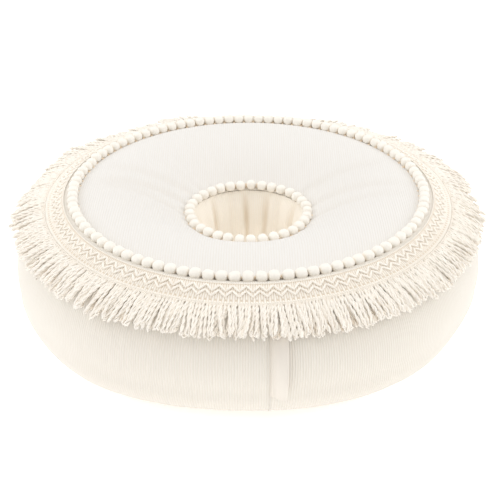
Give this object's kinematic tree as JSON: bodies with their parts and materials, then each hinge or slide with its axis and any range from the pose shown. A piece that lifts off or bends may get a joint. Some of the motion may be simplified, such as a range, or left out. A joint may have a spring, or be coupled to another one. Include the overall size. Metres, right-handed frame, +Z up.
{
  "type": "round floor cushion",
  "caption": "Round floor cushion with a centre hole, ribbed cotton cover, ball trim on both top seams, a looped shoulder fringe and a zipped back band.",
  "frame": {"origin": "on the floor, at the centre of the base", "axes": "+Z up along the cushion's own axis; the front, with the side label, faces -Y; the zip is at the back, +Y"},
  "size_m": [0.5101, 0.5101, 0.1473],
  "materials": {
    "ribbed_cover": "matte ribbed cotton",
    "base_cloth": "matte plain-weave cotton",
    "trim_thread": "woven and braided cotton thread",
    "fringe_cord": "twisted two-ply cotton cord",
    "felt_balls": "short-pile felt",
    "label_satin": "satin ribbon, unprinted",
    "zip_tape": "fine twill tape",
    "zip_coil": "satin monofilament",
    "zip_metal": "satin nickel plate",
    "liner_cotton": "plain cotton lining",
    "fibre": "loose polyester fibre"
  },
  "bodies": {
    "root": {"top_panel": "ribbed_cover", "band_left": "ribbed_cover", "band_right": "ribbed_cover", "band_back_upper": "ribbed_cover", "band_back_lower": "ribbed_cover", "base_panel": "base_cloth", "hole_sleeve": "ribbed_cover", "outer_pompom_braid": "trim_thread", "outer_pompoms": "felt_balls", "inner_pompom_braid": "trim_thread", "inner_pompoms": "felt_balls", "fringe_header": "trim_thread", "fringe_zigzag_upper": "trim_thread", "fringe_zigzag_lower": "trim_thread", "fringe_heading_cord": "trim_thread", "fringe_loops": "fringe_cord", "zip_tape_upper": "zip_tape", "zip_tape_lower": "zip_tape", "zip_coil_upper": "zip_coil", "zip_coil_lower": "zip_coil", "zip_stops": "zip_metal", "top_seam_allowance": "ribbed_cover", "rim_seam_allowance": "ribbed_cover", "base_seam_allowance": "base_cloth", "sleeve_seam_allowance": "base_cloth", "front_join_allowance": "ribbed_cover", "back_join_allowances": "ribbed_cover", "liner_top": "liner_cotton", "liner_wall": "liner_cotton", "liner_base": "liner_cotton", "liner_sleeve": "liner_cotton", "fibre_filling": "fibre"},
    "zip_slider": {"zip_slider": "zip_metal"},
    "zip_pull_tab": {"zip_pull_tab": "zip_metal"},
    "side_label": {"side_label": "label_satin"}
  },
  "joints": [
    {"name": "zip_run", "type": "hinge", "parent": "root", "child": "zip_slider", "pos_m": [0, 0, 0.048], "axis": [0, 0, 1], "range_deg": [0, 115.4]},
    {"name": "zip_pull", "type": "hinge", "parent": "zip_slider", "child": "zip_pull_tab", "pos_m": [0.21231, 0.13417, 0.048], "axis": [0, 0, 1], "range_deg": [0, 175]},
    {"name": "label_flap", "type": "hinge", "parent": "root", "child": "side_label", "pos_m": [0.02062, -0.25075, 0.048], "axis": [-0.005, 0.0608, 0.9981], "range_deg": [-140, 16]}
  ]
}
